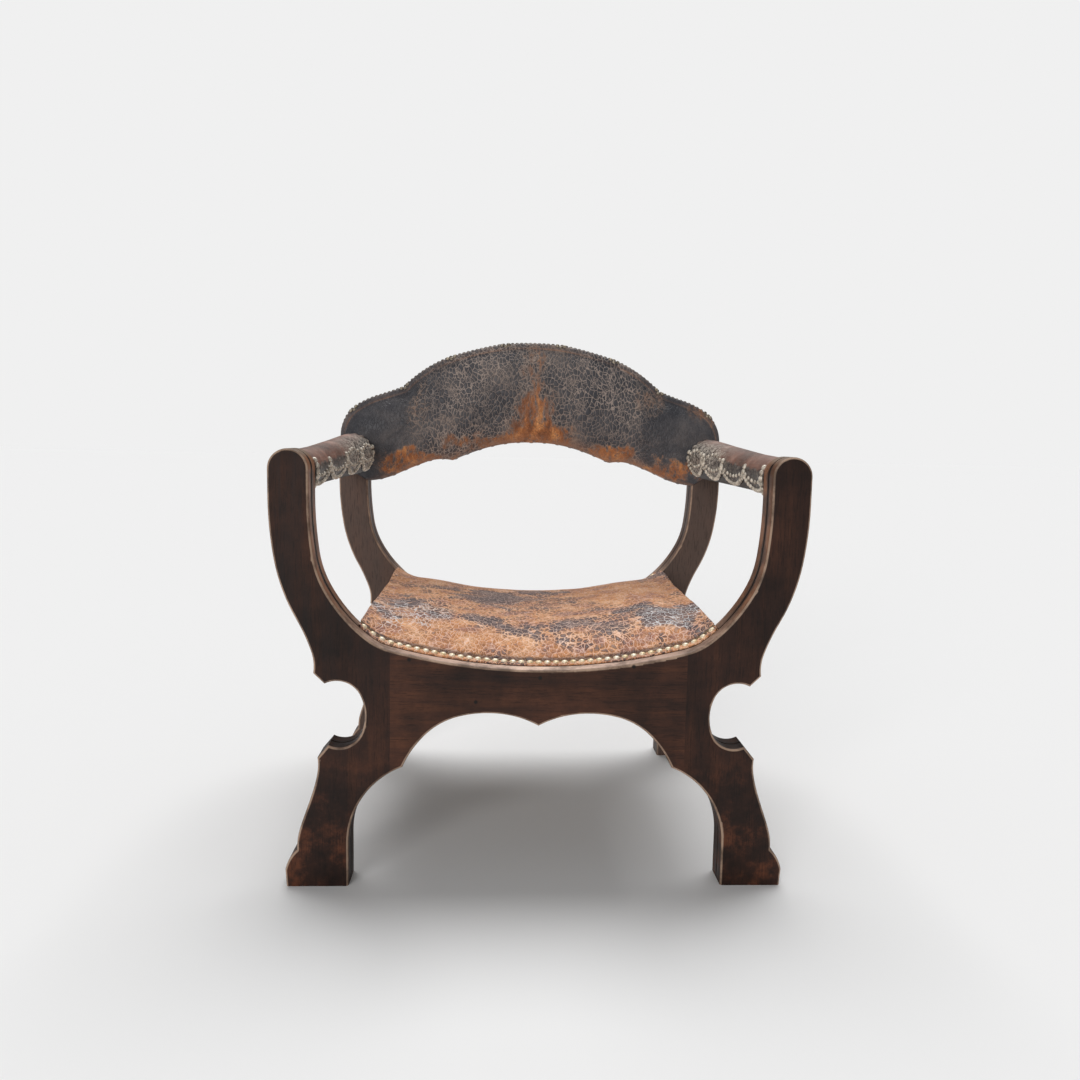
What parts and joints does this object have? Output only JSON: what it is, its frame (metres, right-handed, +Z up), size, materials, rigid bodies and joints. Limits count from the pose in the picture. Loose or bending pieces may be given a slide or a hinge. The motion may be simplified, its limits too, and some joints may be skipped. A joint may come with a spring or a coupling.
{
  "type": "savonarola chair",
  "caption": "Curule armchair of two X-shaped oak plank frames with a slung leather seat, padded leather armrests and an arched leather back, all edged with dome-headed nails.",
  "frame": {"origin": "middle of the chair's footprint, on the floor", "axes": "+Z up, +X to the right seen from the front, -Y towards the viewer, the way the sitter faces"},
  "size_m": [0.7052, 0.55, 0.772],
  "materials": {
    "oak": "dark stained oak, waxed, worn pale on the edges",
    "inner_wood": "plain sawn beech",
    "dowel_wood": "turned beech",
    "webbing": "woven jute",
    "hessian": "woven hessian",
    "horsehair": "curled horsehair",
    "seat_leather": "tan leather, crackled and darkened by use",
    "back_leather": "dark grained leather, worn brown in places",
    "arm_leather": "smooth reddish brown leather, polished by hands",
    "nails": "dulled brass",
    "screws": "plain steel"
  },
  "bodies": {
    "root": {"armrest_core_left": "inner_wood", "armrest_core_right": "inner_wood", "armrest_leather_left": "arm_leather", "armrest_leather_right": "arm_leather", "armrest_nails_left": "nails", "armrest_nails_right": "nails", "armrest_padding_left": "horsehair", "armrest_padding_right": "horsehair", "armrest_rear_screws": "screws", "back_board": "inner_wood", "back_board_dowels": "dowel_wood", "back_crest_nails": "nails", "back_front_leather": "back_leather", "back_lower_nails": "nails", "back_outer_leather": "back_leather", "back_padding": "horsehair", "front_frame_dowels": "dowel_wood", "front_left_upright": "oak", "front_right_upright": "oak", "front_seat_rail": "oak", "rear_frame_dowels": "dowel_wood", "rear_left_upright": "oak", "rear_right_upright": "oak", "rear_seat_rail": "oak", "seat_base_cloth": "hessian", "seat_front_nails": "nails", "seat_leather": "seat_leather", "seat_padding": "horsehair", "seat_rear_nails": "nails", "seat_side_nails": "nails", "seat_side_rail_dowels": "dowel_wood", "seat_side_rail_left": "inner_wood", "seat_side_rail_right": "inner_wood", "seat_webbing_crosswise": "webbing", "seat_webbing_lengthwise": "webbing"}
  },
  "joints": []
}
